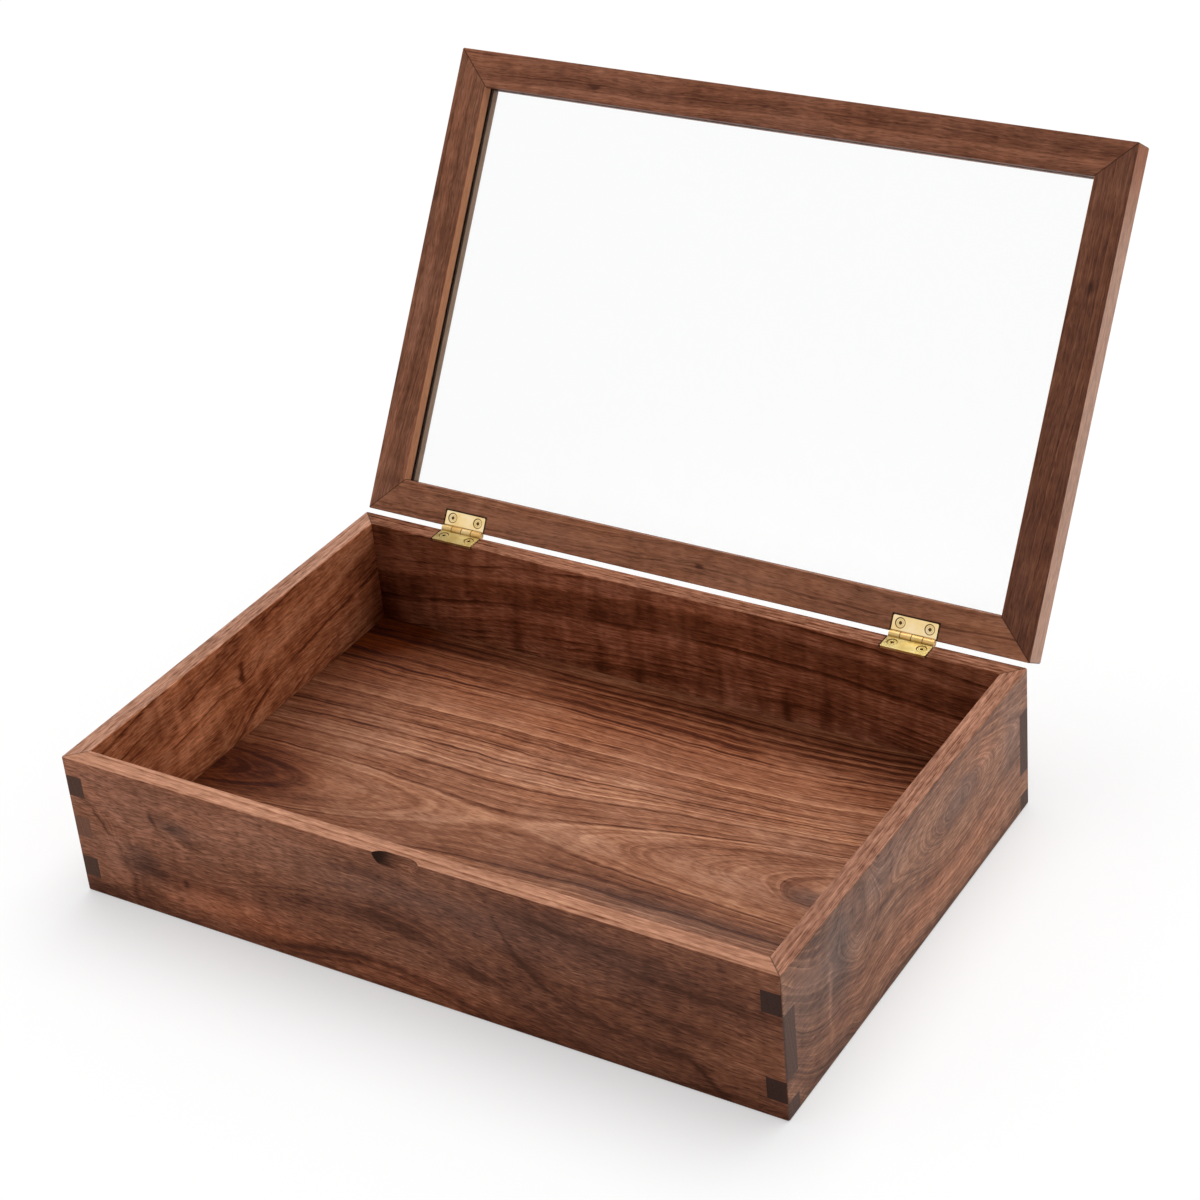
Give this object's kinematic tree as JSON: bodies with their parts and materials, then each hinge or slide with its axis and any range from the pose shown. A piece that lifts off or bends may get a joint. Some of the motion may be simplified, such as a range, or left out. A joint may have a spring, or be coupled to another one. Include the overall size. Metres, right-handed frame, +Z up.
{
  "type": "glass-lidded jewelry box",
  "caption": "Low walnut box with mitred, finger-jointed corners and a hinged lid that holds a clear glass pane in a mitred frame.",
  "frame": {"origin": "under the middle of the open box's outline, in the plane that it rests on, 58.9 mm behind the middle of the box's footprint", "axes": "+X to the right end seen from the front, +Y from the front board to the hinges, +Z up; the lid stands open on its hinge stops"},
  "size_m": [0.305, 0.3178, 0.2324],
  "materials": {
    "walnut": "oiled, satin",
    "glass": "clear, polished",
    "brass": "polished"
  },
  "bodies": {
    "box": {"front_board": "walnut", "back_board": "walnut", "left_side": "walnut", "right_side": "walnut", "bottom_panel": "walnut", "left_box_leaf": "brass", "right_box_leaf": "brass", "left_hinge_pin": "brass", "right_hinge_pin": "brass", "left_box_screws": "brass", "right_box_screws": "brass"},
    "lid": {"lid_front_rail": "walnut", "lid_back_rail": "walnut", "lid_left_stile": "walnut", "lid_right_stile": "walnut", "lid_splines": "walnut", "glass_pane": "glass", "left_lid_leaf": "brass", "right_lid_leaf": "brass", "left_lid_screws": "brass", "right_lid_screws": "brass"}
  },
  "joints": [
    {"name": "lid_hinge", "type": "hinge", "parent": "box", "child": "lid", "pos_m": [0, 0.0421, 0.06225], "axis": [1, 0, 0], "range_deg": [0, 122]}
  ]
}
